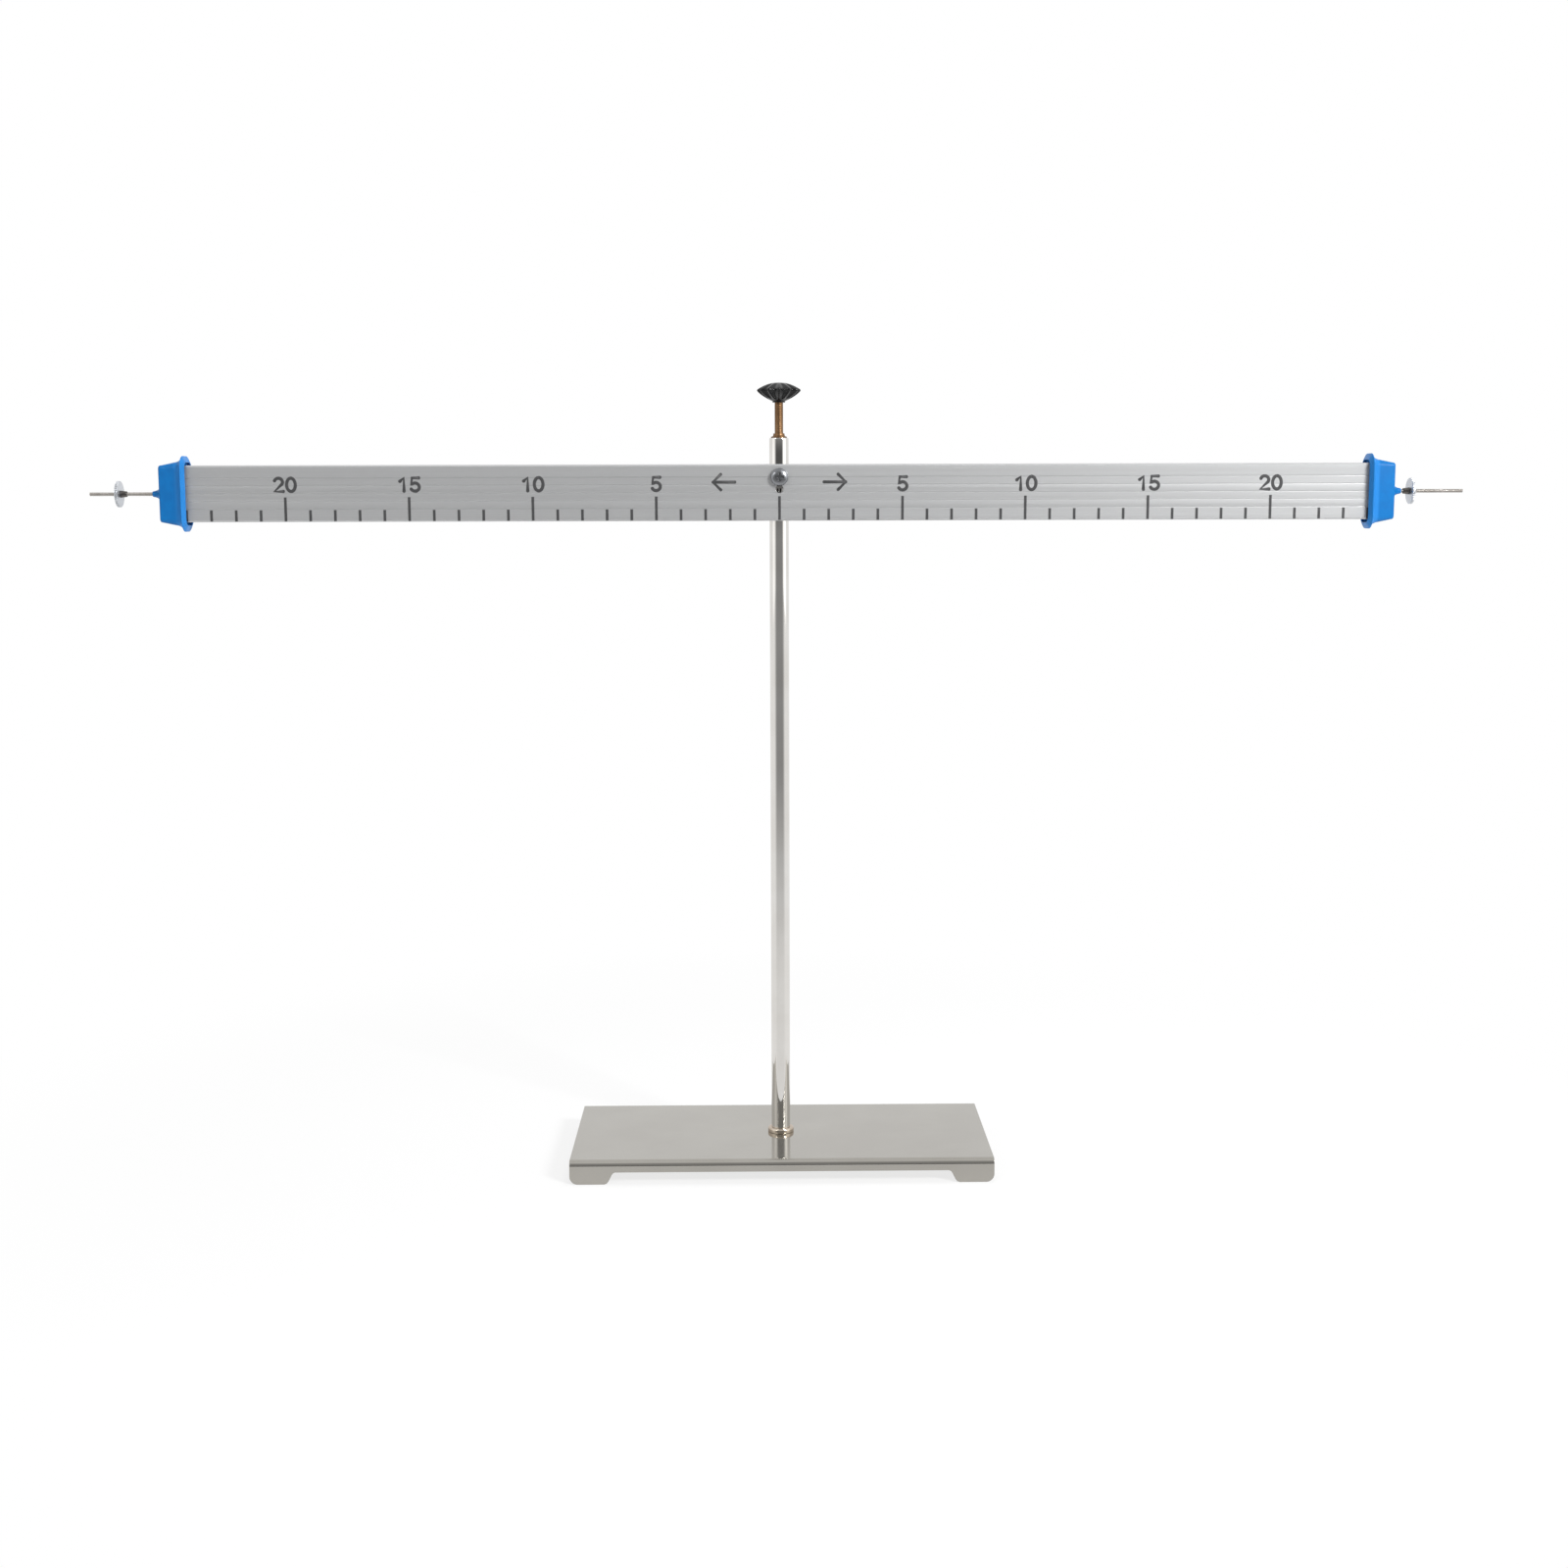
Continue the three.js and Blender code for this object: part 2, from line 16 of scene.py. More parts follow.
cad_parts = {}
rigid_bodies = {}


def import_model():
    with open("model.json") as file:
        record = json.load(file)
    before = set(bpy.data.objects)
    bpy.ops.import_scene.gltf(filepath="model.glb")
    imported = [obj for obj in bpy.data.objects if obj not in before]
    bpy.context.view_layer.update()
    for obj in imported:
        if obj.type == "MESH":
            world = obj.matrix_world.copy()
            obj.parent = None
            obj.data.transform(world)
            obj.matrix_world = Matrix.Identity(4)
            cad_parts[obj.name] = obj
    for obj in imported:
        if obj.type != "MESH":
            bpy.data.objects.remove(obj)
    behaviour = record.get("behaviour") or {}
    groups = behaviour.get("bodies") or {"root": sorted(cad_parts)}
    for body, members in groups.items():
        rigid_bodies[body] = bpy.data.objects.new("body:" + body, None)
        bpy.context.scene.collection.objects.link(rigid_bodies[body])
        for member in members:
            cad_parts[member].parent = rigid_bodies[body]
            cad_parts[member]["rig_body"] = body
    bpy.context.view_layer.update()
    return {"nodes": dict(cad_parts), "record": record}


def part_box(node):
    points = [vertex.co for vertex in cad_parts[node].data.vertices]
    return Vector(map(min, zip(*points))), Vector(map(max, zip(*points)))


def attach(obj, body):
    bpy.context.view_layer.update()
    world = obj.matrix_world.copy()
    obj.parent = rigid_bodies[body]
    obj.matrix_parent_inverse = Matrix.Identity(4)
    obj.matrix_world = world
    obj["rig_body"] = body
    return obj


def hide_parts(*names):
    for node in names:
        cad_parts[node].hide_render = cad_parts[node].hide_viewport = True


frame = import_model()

# %% [markdown]
# ## Measures
# The pieces are drawn in millimetres and scaled to metres at the end, so that the numbers read like
# those on a workshop drawing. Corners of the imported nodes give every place. Typing the places in
# again would be shorter, but they would no longer follow the model when it changes.

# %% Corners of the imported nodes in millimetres
MM = 0.001
WELD = 0.001
QUARTER = math.pi / 2


def corners(node):
    """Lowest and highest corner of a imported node, in millimetres."""
    low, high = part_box(node)
    return low / MM, high / MM


beam_low, beam_high = corners("lever_beam")
screw_low, screw_high = corners("pivot_screw")
beam_middle = (beam_low + beam_high) / 2
pivot = (screw_low + screw_high) / 2
print("beam", [round(size, 1) for size in beam_high - beam_low], "mm, pivot at height", round(pivot.z, 1))

# %% [markdown]
# ## Camera
# The photograph looks at the stand from the front, a little from above and a hair from the left. A
# camera could be aimed by eye, but the beam's scale gives its place by calculation: the marks are
# 10 mm apart, so their spacing in the picture fixes the distance and the lens. The turn is built
# from three rotations: about the upright, then down, then about the line of sight.

# %% Place the camera
CAMERA_PLACE = Vector((-10.2, -853.4, 279.4))
CAMERA_YAW = math.radians(-0.8)
CAMERA_PITCH = math.radians(7.93)
CAMERA_ROLL = math.radians(-0.15)
LENS = 47.07
SENSOR_WIDTH = 36

camera_data = bpy.data.cameras.new("camera")
camera_data.lens = LENS
camera_data.sensor_width = SENSOR_WIDTH
camera = bpy.data.objects.new("camera", camera_data)
camera.matrix_world = (
    Matrix.Translation(CAMERA_PLACE * MM)
    @ Matrix.Rotation(CAMERA_YAW, 4, "Z")
    @ Matrix.Rotation(QUARTER - CAMERA_PITCH, 4, "X")
    @ Matrix.Rotation(CAMERA_ROLL, 4, "Z")
)
bpy.context.collection.objects.link(camera)
bpy.context.scene.camera = camera
bpy.context.scene.view_settings.view_transform = "Standard"
print("camera looks", round(math.degrees(CAMERA_PITCH), 1), "degrees down")

# %% [markdown]
# ## Shader signals
# A finish is a network of nodes. Linking them one by one hides the idea, so a small class wraps a
# node's output and lets plain sums and products add the Math nodes. The method called node makes
# any other node from its settings and inputs.

# %% A class for the outputs of nodes


class Signal:
    """The output of a node. Sums, differences and products of signals add Math nodes."""

    def __init__(self, tree, socket=None):
        self.tree = tree
        self.socket = socket

    def node(self, kind, settings=None, inputs=None, output=0):
        """Adds a node and gives back one of its outputs. Inputs are signals or plain values."""
        made = self.tree.nodes.new(kind)
        for key, value in (settings or {}).items():
            setattr(made, key, value)
        for key, value in (inputs or {}).items():
            if isinstance(value, Signal):
                self.tree.links.new(value.socket, made.inputs[key])
            else:
                made.inputs[key].default_value = value
        return Signal(self.tree, made.outputs[output])

    def output(self, name):
        """Another output of the same node."""
        return Signal(self.tree, self.socket.node.outputs[name])

    def into(self, socket):
        """Links the signal to an input."""
        self.tree.links.new(self.socket, socket)

    def maths(self, operation, *values):
        """Adds a Math node for one or two values."""
        return self.node("ShaderNodeMath", {"operation": operation}, dict(enumerate(values)))

    def __add__(self, other):
        return self.maths("ADD", self, other)

    def __sub__(self, other):
        return self.maths("SUBTRACT", self, other)

    def __rsub__(self, other):
        return self.maths("SUBTRACT", other, self)

    def __mul__(self, other):
        return self.maths("MULTIPLY", self, other)

    __radd__ = __add__
    __rmul__ = __mul__


print("signals are ready")

# %% [markdown]
# ## Studio
# The object stands on white paper in an even, bright room. Polished metal is only as good as what
# it mirrors, so the room needs a darker front: a real photographer stands there with a camera. The
# world is plain white to the camera and gives polished metal that darker front. It is a band at eye
# level, paler again above, and bright walls stand to both sides. A dark card could stand there
# instead, but it would show from behind.

# %% World: white to the camera, with a darker front for polished metal
AMBIENT = 0.36
FRONT_EDGE = -0.38
FRONT_FULL = -0.88
BELOW_EYE = 0.3
AT_EYE = 0.1
ABOVE_EYE = 0.42
EYE_LOW = (-0.03, 0.025)
EYE_HIGH = (0.07, 0.2)
SIDE_WALLS = 0.6
RIGHT_SHARE = 0.25
WALL_SPAN = (0.3, 0.7)
WALL_DEPTH = (0.1, -0.3)


def eased(signal, start, end, low=0.0, high=1.0):
    """Goes softly from low to high while the signal goes from start to end."""
    return signal.node("ShaderNodeMapRange", {"interpolation_type": "SMOOTHSTEP"}, {
        "Value": signal, "From Min": start, "From Max": end, "To Min": low, "To Max": high})


world = bpy.data.worlds.new("room")
world.use_nodes = True
bpy.context.scene.world = world
room = Signal(world.node_tree)
ray = room.node("ShaderNodeLightPath")
direction = room.node("ShaderNodeSeparateXYZ", inputs={0: room.node("ShaderNodeTexCoord")})
aside = direction.output("X")
depth = direction.output("Y")
rise = direction.output("Z")
front = eased(depth, FRONT_EDGE, FRONT_FULL)
front_level = eased(rise, *EYE_LOW, BELOW_EYE, AT_EYE) + eased(rise, *EYE_HIGH, 0, ABOVE_EYE - AT_EYE)
wall = eased(aside * aside, *WALL_SPAN) * eased(depth, *WALL_DEPTH)
mirrored = front * front_level + (1 - front) + wall * (SIDE_WALLS + aside * RIGHT_SHARE)
seen = ray.output("Is Camera Ray") + ray.output("Is Transmission Ray")
glossy = ray.output("Is Glossy Ray")
level = seen + glossy * mirrored + (1 - seen - glossy) * AMBIENT
background = world.node_tree.nodes["Background"]
background.inputs["Color"].default_value = (1, 1, 1, 1)
level.into(background.inputs["Strength"])
print("room level", AMBIENT)

# %% [markdown]
# A strong softbox hangs in front on the right and a weak one on the left. The third hangs overhead
# and is hidden from reflections, because it would show in the plate.

# %% Lamps
LAMPS = {
    "key_lamp": {"place": (1000, -1150, 960), "size": 360, "power": 25},
    "fill_lamp": {"place": (-1000, -1100, 960), "size": 360, "power": 3.4},
    "top_lamp": {"place": (100, 250, 1500), "size": 900, "power": 9, "mirrored": False},
}


def softbox(name, place, size, power, mirrored=True):
    """Hangs a square lamp at a place in millimetres and turns it to the beam's pivot."""
    lamp = bpy.data.lights.new(name, "AREA")
    lamp.shape = "SQUARE"
    lamp.size = size * MM
    lamp.energy = power
    made = bpy.data.objects.new(name, lamp)
    aim = (pivot - Vector(place)).to_track_quat("-Z", "Y").to_matrix().to_4x4()
    made.matrix_world = Matrix.Translation(Vector(place) * MM) @ aim
    made.visible_glossy = mirrored
    bpy.context.collection.objects.link(made)


for name, lamp_settings in LAMPS.items():
    softbox(name, **lamp_settings)
print(len(LAMPS), "lamps")

# %% [markdown]
# The floor is white paper that keeps the object's shadow near it and fades to plain white further
# out. In polished metal it grows darker towards the front, as the dim room does.

# %% Floor
FLOOR_REACH = 3000
SHADOW_REACH = 420
PAPER_SHARE = 0.75
FAR_FRONT = 1.0
NEAR_DARK = 0.1
FAR_DARK = 0.68
PAPER_COLOUR = (0.9, 0.9, 0.9, 1)


def new_material(name):
    """Gives a new material, its shader node and a signal to build on."""
    material = bpy.data.materials.new(name)
    material.use_nodes = True
    return material, material.node_tree.nodes["Principled BSDF"], Signal(material.node_tree)


def linked(name, mesh, material):
    """Turns a bmesh into an object of one material and adds it to the scene."""
    data = bpy.data.meshes.new(name)
    mesh.to_mesh(data)
    mesh.free()
    data.materials.append(material)
    made = bpy.data.objects.new(name, data)
    bpy.context.collection.objects.link(made)
    return made


paper, paper_shader, start = new_material("white_paper")
paper_shader.inputs["Base Color"].default_value = PAPER_COLOUR
paper_shader.inputs["Roughness"].default_value = 1
paper_shader.inputs["Specular IOR Level"].default_value = 0
spot = start.node("ShaderNodeTexCoord").output("Object")
distance = start.node("ShaderNodeVectorMath", {"operation": "LENGTH"}, {0: spot}, "Value")
heading = start.node("ShaderNodeVectorMath", {"operation": "NORMALIZE"}, {0: spot})
ahead = start.node("ShaderNodeSeparateXYZ", inputs={0: heading}).output("Y")
far = eased(distance, SHADOW_REACH * MM / 2, SHADOW_REACH * MM, PAPER_SHARE, 1.0)
darker = eased(ahead, FRONT_EDGE, FRONT_FULL) * eased(distance, 0, FAR_FRONT, NEAR_DARK, FAR_DARK)
paper_ray = start.node("ShaderNodeLightPath")
plain = paper_ray.output("Is Camera Ray") + paper_ray.output("Is Transmission Ray")
in_mirror = paper_ray.output("Is Glossy Ray")
white = start.node("ShaderNodeEmission", inputs={
    "Color": (1, 1, 1, 1), "Strength": plain + in_mirror * (1 - darker)})
shaded = Signal(paper.node_tree, paper_shader.outputs["BSDF"])
paper_mix = start.node("ShaderNodeMixShader", inputs={0: (plain + in_mirror) * far, 1: shaded, 2: white})
paper_mix.into(paper.node_tree.nodes["Material Output"].inputs["Surface"])

sheet = bmesh.new()
bmesh.ops.create_grid(sheet, x_segments=1, y_segments=1, size=FLOOR_REACH * MM)
floor = linked("floor", sheet, paper)
print("floor reaches", FLOOR_REACH, "mm")

# %% [markdown]
# ## Finishes
# Every finish is built from the same few layers: a base colour that wanders a little, a roughness
# that wanders too, and a fine bump. A brushed metal gets its grain from noise that is stretched
# along the brushing. Image textures could do the same, but noise on Object coordinates needs no
# unwrapping and stays put when the piece moves.

# %% Noise, and the steps that every finish shares
NOISE_LOW = 0.35
NOISE_HIGH = 0.65
PATCH_SIZE = 12
GRAIN_SHARE = 0.6


def grain(start, scale, detail=3.0, stretch=(1, 1, 1)):
    """Noise on Object coordinates. A smaller number in stretch draws it out along that axis."""
    place = start.node("ShaderNodeMapping", inputs={
        "Vector": start.node("ShaderNodeTexCoord").output("Object"), "Scale": stretch})
    return start.node("ShaderNodeTexNoise", inputs={"Vector": place, "Scale": scale, "Detail": detail})


def ranged(signal, low, high):
    """Spreads the middle of a noise signal over a range."""
    return signal.node("ShaderNodeMapRange", inputs={
        "Value": signal, "From Min": NOISE_LOW, "From Max": NOISE_HIGH, "To Min": low, "To Max": high})


def tinted(signal, first, second):
    """Blends two colours by a signal. Each is three numbers or a signal itself."""
    first, second = (side if isinstance(side, Signal) else (*side, 1) for side in (first, second))
    return signal.node("ShaderNodeMix", {"data_type": "RGBA"}, {0: signal, 6: first, 7: second}, 2)


def object_place(start, axis):
    """One of the Object coordinates."""
    place = start.node("ShaderNodeTexCoord").output("Object")
    return start.node("ShaderNodeSeparateXYZ", inputs={0: place}).output(axis)


def bumped(shader, signal, depth):
    """Raises the surface by a signal, by a depth in millimetres."""
    height = {"Height": signal, "Strength": 1.0, "Distance": depth * MM}
    signal.node("ShaderNodeBump", inputs=height).into(shader.inputs["Normal"])


def metal(name, pale, dark, smooth, rough, scale, stretch=(1, 1, 1), bump=0.002):
    """A bare or plated metal: its colour and its gloss wander with one grain."""
    material, shader, start = new_material(name)
    shader.inputs["Metallic"].default_value = 1
    pattern = grain(start, scale, stretch=stretch)
    patches = grain(start, scale / PATCH_SIZE)
    tinted(ranged(patches, 0, 1), pale, dark).into(shader.inputs["Base Color"])
    wandering = pattern * GRAIN_SHARE + patches * (1 - GRAIN_SHARE)
    ranged(wandering, smooth, rough).into(shader.inputs["Roughness"])
    bumped(shader, pattern, bump)
    return material


METALS = {
    "nickel_sheet": {
        "pale": (0.41, 0.395, 0.362), "dark": (0.39, 0.374, 0.342), "smooth": 0.09, "rough": 0.14,
        "scale": 500, "stretch": (0.15, 1, 1), "bump": 0.0001},
    "nickel_collar": {
        "pale": (0.62, 0.55, 0.46), "dark": (0.42, 0.33, 0.26), "smooth": 0.12, "rough": 0.28,
        "scale": 900},
    "chrome_rod": {
        "pale": (0.72, 0.705, 0.68), "dark": (0.67, 0.65, 0.62), "smooth": 0.05, "rough": 0.08,
        "scale": 700, "stretch": (1, 1, 0.1), "bump": 0.0001},
    "zinc_hardware": {
        "pale": (0.45, 0.45, 0.44), "dark": (0.36, 0.36, 0.35), "smooth": 0.3, "rough": 0.45,
        "scale": 800},
    "brass": {
        "pale": (0.205, 0.118, 0.06), "dark": (0.16, 0.09, 0.044), "smooth": 0.4, "rough": 0.52,
        "scale": 1200, "bump": 0.0006},
    "pivot_steel": {
        "pale": (0.34, 0.35, 0.37), "dark": (0.19, 0.195, 0.205), "smooth": 0.22, "rough": 0.38,
        "scale": 900},
    "rod_steel": {
        "pale": (0.42, 0.395, 0.37), "dark": (0.34, 0.315, 0.29), "smooth": 0.32, "rough": 0.45,
        "scale": 1200},
    "dark_hub": {
        "pale": (0.16, 0.15, 0.14), "dark": (0.09, 0.083, 0.078), "smooth": 0.25, "rough": 0.4,
        "scale": 1500},
    "nut_metal": {
        "pale": (0.66, 0.68, 0.71), "dark": (0.58, 0.60, 0.63), "smooth": 0.36, "rough": 0.48,
        "scale": 1200},
}
finishes = {name: metal(name, **look) for name, look in METALS.items()}
print(len(finishes), "metals")

# %% [markdown]
# The beam is brushed and anodised aluminium. Long, faint streaks run along it, and the oxide film
# makes it paler and duller than bare metal. Anodising scatters light inside the film, which a lower
# Metallic value stands for.

# %% Brushed aluminium
BEAM_METALLIC = 0.75
BEAM_PALE = (0.553, 0.558, 0.563)
BEAM_DARK = (0.513, 0.518, 0.523)

beam_finish, beam_shader, start = new_material("beam_aluminium")
beam_shader.inputs["Metallic"].default_value = BEAM_METALLIC
streaks = grain(start, scale=2200, detail=4.0, stretch=(0.0008, 1, 1))
clouds = grain(start, scale=14, detail=2.0, stretch=(0.3, 1, 1))
streaky = ranged(streaks * GRAIN_SHARE + clouds * (1 - GRAIN_SHARE), 0, 1)
brushed = tinted(streaky, BEAM_PALE, BEAM_DARK)
ranged(streaks, low=0.38, high=0.46).into(beam_shader.inputs["Roughness"])
bumped(beam_shader, streaks, depth=0.0003)
finishes["beam_aluminium"] = beam_finish
print("beam finish")

# %% [markdown]
# The shallow grooves get painted shade: their base colour is darker than the face, to take out the bright
# glint each groove otherwise catches. Without that, each groove is a bright line. The mask is the distance
# to the nearest groove along Z, in Object coordinates.

# %% Painted shade in the grooves
GROOVE_PITCH = 3.1
OUTER_GROOVE = 2
GROOVE_SHADE_INSIDE = 0.14
GROOVE_SHADE_OUTSIDE = 0.26
GROOVE_SHADE_COLOUR = (0.43, 0.435, 0.44)

grooves_up = (object_place(start, "Z") - beam_middle.z * MM) * (1 / (GROOVE_PITCH * MM))
nearest = start.maths("ROUND", grooves_up)
nearest = start.maths("MAXIMUM", nearest, -OUTER_GROOVE)
nearest = start.maths("MINIMUM", nearest, OUTER_GROOVE)
away = start.maths("ABSOLUTE", grooves_up - nearest)
# Painted shade: the base colour turns darker along each groove, to cancel its glint.
groove_shade = eased(away, GROOVE_SHADE_OUTSIDE / GROOVE_PITCH, GROOVE_SHADE_INSIDE / GROOVE_PITCH)
tinted(groove_shade, brushed, GROOVE_SHADE_COLOUR).into(beam_shader.inputs["Base Color"])
print("grooves about height", round(beam_middle.z, 1), "mm and", GROOVE_PITCH, "mm apart")

# %% [markdown]
# The end caps and the knob are moulded plastic. A moulding has a very fine, soft unevenness from
# its mould, and the blue is a little mottled where the colour has not mixed evenly.

# %% Moulded plastics
PORE_SHARE = 0.6
PLASTICS = {
    "blue_plastic": {
        "main": (0.006, 0.155, 0.45), "second": (0.005, 0.137, 0.41), "smooth": 0.32, "rough": 0.42,
        "bump": 0.003, "shine": 0.16},
    "black_plastic": {
        "main": (0.006, 0.006, 0.0065), "second": (0.004, 0.004, 0.0045), "smooth": 0.18, "rough": 0.24,
        "bump": 0.001, "shine": 0.3},
}


def plastic(name, main, second, smooth, rough, bump, shine):
    """A moulded plastic: mottled in colour and gloss, with fine pores."""
    material, shader, start = new_material(name)
    shader.inputs["Specular IOR Level"].default_value = shine
    mottle = grain(start, scale=260, detail=4.0)
    pores = grain(start, scale=2600, detail=2.0)
    tinted(ranged(mottle, 0, 1), main, second).into(shader.inputs["Base Color"])
    ranged(mottle, smooth, rough).into(shader.inputs["Roughness"])
    bumped(shader, mottle * (1 - PORE_SHARE) + pores * PORE_SHARE, bump)
    return material


finishes.update({name: plastic(name, **look) for name, look in PLASTICS.items()})
print(len(finishes), "finishes")

# %% [markdown]
# The lips of the blue caps are so thin that light comes through them, and they look paler than the
# solid part. A subsurface shader could do that, but it is slow and isn't baked. The colour changes
# with the place along X instead.

# %% Paler lips
LIP_BEGINS = 244.6
LIP_FULL = 243.4
LIP_COLOUR = (0.018, 0.195, 0.55)

blue_shader = finishes["blue_plastic"].node_tree.nodes["Principled BSDF"]
body_colour = Signal(blue_shader.id_data, blue_shader.inputs["Base Color"].links[0].from_socket)
far_out = body_colour.maths("ABSOLUTE", object_place(body_colour, "X"))
thin = eased(far_out, LIP_BEGINS * MM, LIP_FULL * MM)
tinted(thin, body_colour, LIP_COLOUR).into(blue_shader.inputs["Base Color"])
print("caps are paler inside", LIP_FULL, "mm")

# %% [markdown]
# ## Modelling helpers
# Most of the pieces are turned on a lathe, so most of them here are a profile that bmesh spins
# about the Z axis. A modifier could do that too, but the operator leaves a plain mesh. Each corner
# of a profile is given a size, and the helper rounds it, because no real edge is perfectly sharp
# and a rounded one catches the light.

# %% Rounded paths and spun profiles


def bend(first, middle, last, steps=8):
    """Points on a curve that leaves first towards middle and arrives at last."""
    first, middle, last = Vector(first), Vector(middle), Vector(last)
    shares = [step / steps for step in range(steps + 1)]
    return [first.lerp(middle, share).lerp(middle.lerp(last, share), share) for share in shares]


def rounded(path, steps=5):
    """Points of a closed path of (x, y, size), with each corner rounded by its size."""
    points = []
    for i, (x, y, size) in enumerate(path):
        corner = Vector((x, y))
        before = Vector(path[i - 1][:2])
        after = Vector(path[(i + 1) % len(path)][:2])
        if size:
            start = corner + (before - corner).normalized() * size
            end = corner + (after - corner).normalized() * size
            points += bend(start, corner, end, steps)
        else:
            points.append(corner)
    return points


def wire(points):
    """Starts a mesh from points of (radius, height), joined in order."""
    mesh = bmesh.new()
    dots = [mesh.verts.new((radius, 0, height)) for radius, height in points]
    for first, second in zip(dots, dots[1:]):
        mesh.edges.new((first, second))
    return mesh


def welded(mesh):
    """Merges doubles, closes what is open and turns the faces outwards."""
    bmesh.ops.remove_doubles(mesh, verts=mesh.verts[:], dist=WELD)
    bmesh.ops.holes_fill(mesh, edges=[edge for edge in mesh.edges if edge.is_boundary], sides=0)
    bmesh.ops.recalc_face_normals(mesh, faces=mesh.faces[:])
    return mesh


def spun(points, steps=96):
    """Spins a closed path of (radius, height) once about the Z axis."""
    mesh = wire([*points, points[0]])
    bmesh.ops.spin(
        mesh, geom=mesh.verts[:] + mesh.edges[:], cent=(0, 0, 0), axis=(0, 0, 1), dvec=(0, 0, 0),
        angle=math.tau, steps=steps, use_merge=True)
    return welded(mesh)


print("turning helpers are ready")

# %% [markdown]
# A thread is the same spin with a small rise at every step. One pitch of the profile climbs round
# and round, its upper end meeting the lower end of the turn above. Two straight cuts square the
# ends off.

# %% Threads
SPARE_TURNS = 3
FLATS_PER_PITCH = 8


def threaded(crest, root, pitch, low, high, sides=24):
    """A threaded bar about the Z axis between two heights."""
    turns = math.ceil((high - low) / pitch) + SPARE_TURNS
    flat = pitch / FLATS_PER_PITCH
    mesh = wire([(root, 0), (root, flat), (crest, pitch / 2), (crest, pitch / 2 + flat), (root, pitch)])
    bmesh.ops.spin(
        mesh, geom=mesh.verts[:] + mesh.edges[:], cent=(0, 0, 0), axis=(0, 0, 1),
        dvec=(0, 0, pitch / sides), angle=math.tau * turns, steps=sides * turns, use_merge=False)
    bmesh.ops.remove_doubles(mesh, verts=mesh.verts[:], dist=WELD)
    bmesh.ops.translate(mesh, vec=(0, 0, low - pitch * SPARE_TURNS / 2), verts=mesh.verts[:])
    for height, above, below in ((low, False, True), (high, True, False)):
        bmesh.ops.bisect_plane(
            mesh, geom=mesh.verts[:] + mesh.edges[:] + mesh.faces[:], dist=WELD / 10,
            plane_co=(0, 0, height), plane_no=(0, 0, 1), clear_outer=above, clear_inner=below)
    return welded(mesh)


def joined(*meshes):
    """Puts several meshes into the first one."""
    for other in meshes[1:]:
        carrier = bpy.data.meshes.new("carrier")
        other.to_mesh(carrier)
        other.free()
        meshes[0].from_mesh(carrier)
        bpy.data.meshes.remove(carrier)
    return meshes[0]


print("thread helper is ready")

# %% [markdown]
# A bent sheet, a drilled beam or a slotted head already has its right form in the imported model,
# only its edges are perfectly sharp. A copy of such a node is welded, its flat faces are cleaned of
# inner edges, and a narrow bevel breaks the sharp edges as a file would.

# %% Softened copies, and the step that finishes a piece
FLAT_WITHIN = math.radians(0.5)
SHARP_FROM = math.radians(40)
CREASE = math.radians(35)
WIDE_CREASE = math.radians(50)
FINE_CREASE = math.radians(20)


def softened(node, width):
    """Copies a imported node's mesh in millimetres and bevels its sharp edges."""
    mesh = bmesh.new()
    mesh.from_mesh(frame["nodes"][node].data)
    bmesh.ops.scale(mesh, vec=(1 / MM, 1 / MM, 1 / MM), verts=mesh.verts[:])
    bmesh.ops.remove_doubles(mesh, verts=mesh.verts[:], dist=WELD)
    bmesh.ops.dissolve_limit(mesh, angle_limit=FLAT_WITHIN, verts=mesh.verts[:], edges=mesh.edges[:])
    sharp = [edge for edge in mesh.edges if edge.is_manifold and edge.calc_face_angle() > SHARP_FROM]
    bmesh.ops.bevel(
        mesh, geom=sharp, offset=width, offset_type="OFFSET", affect="EDGES", segments=2, profile=0.5,
        material=-1, clamp_overlap=True)
    return mesh


slots = {entry["node"]: entry["material_slot"] for entry in frame["record"]["subparts"]}


def evened(made):
    """Gives large flat faces an even shade beside their narrow bevels."""
    made.modifiers.new("even_shade", "WEIGHTED_NORMAL").keep_sharp = True


def piece(name, mesh, node, place=Matrix.Identity(4), crease=CREASE):
    """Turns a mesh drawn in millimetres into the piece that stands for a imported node."""
    mesh.transform(Matrix.Scale(MM, 4) @ place)
    made = linked(name, mesh, finishes[slots[node]])
    made.data.shade_smooth()
    made.data.set_sharp_from_angle(angle=crease)
    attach(made, frame["nodes"][node]["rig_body"])
    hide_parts(node)
    print(name, len(made.data.polygons), "faces")
    return made


for node, packed in frame["nodes"].items():
    packed.data.materials.clear()
    packed.data.materials.append(finishes[slots[node]])

# %% [markdown]
# ## Stand
# The foot is one bent, nickel-plated sheet. Its bends are already in the node, so it is softened.

# %% Bent plate
evened(piece("bent_plate", softened("base_plate", width=0.15), "base_plate", crease=WIDE_CREASE))

# %% [markdown]
# The collar is a low turned ring with a soft shoulder. The post is a mirror-bright rod, so it is
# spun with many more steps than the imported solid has: on chrome, each facet would show as a stripe.

# %% Collar and post
collar_low, collar_high = corners("foot_collar")
post_low, post_high = corners("post")
COLLAR_BORE = 2.8
POST_BORE = 3.05
BORE_DEPTH = 8.3
STUD = 2.5
POST_EDGE = 0.4
FLAT_FRONT = -3.6
FLAT_HALF = 4.5

collar_radius = collar_high.x
collar_height = collar_high.z - collar_low.z
piece("turned_collar", spun(rounded([
    (COLLAR_BORE, 0, 0.1), (collar_radius, 0, 0.25), (collar_radius, collar_height, 0.8),
    (COLLAR_BORE, collar_height, 0.1),
])), "foot_collar", Matrix.Translation((0, 0, collar_low.z)))

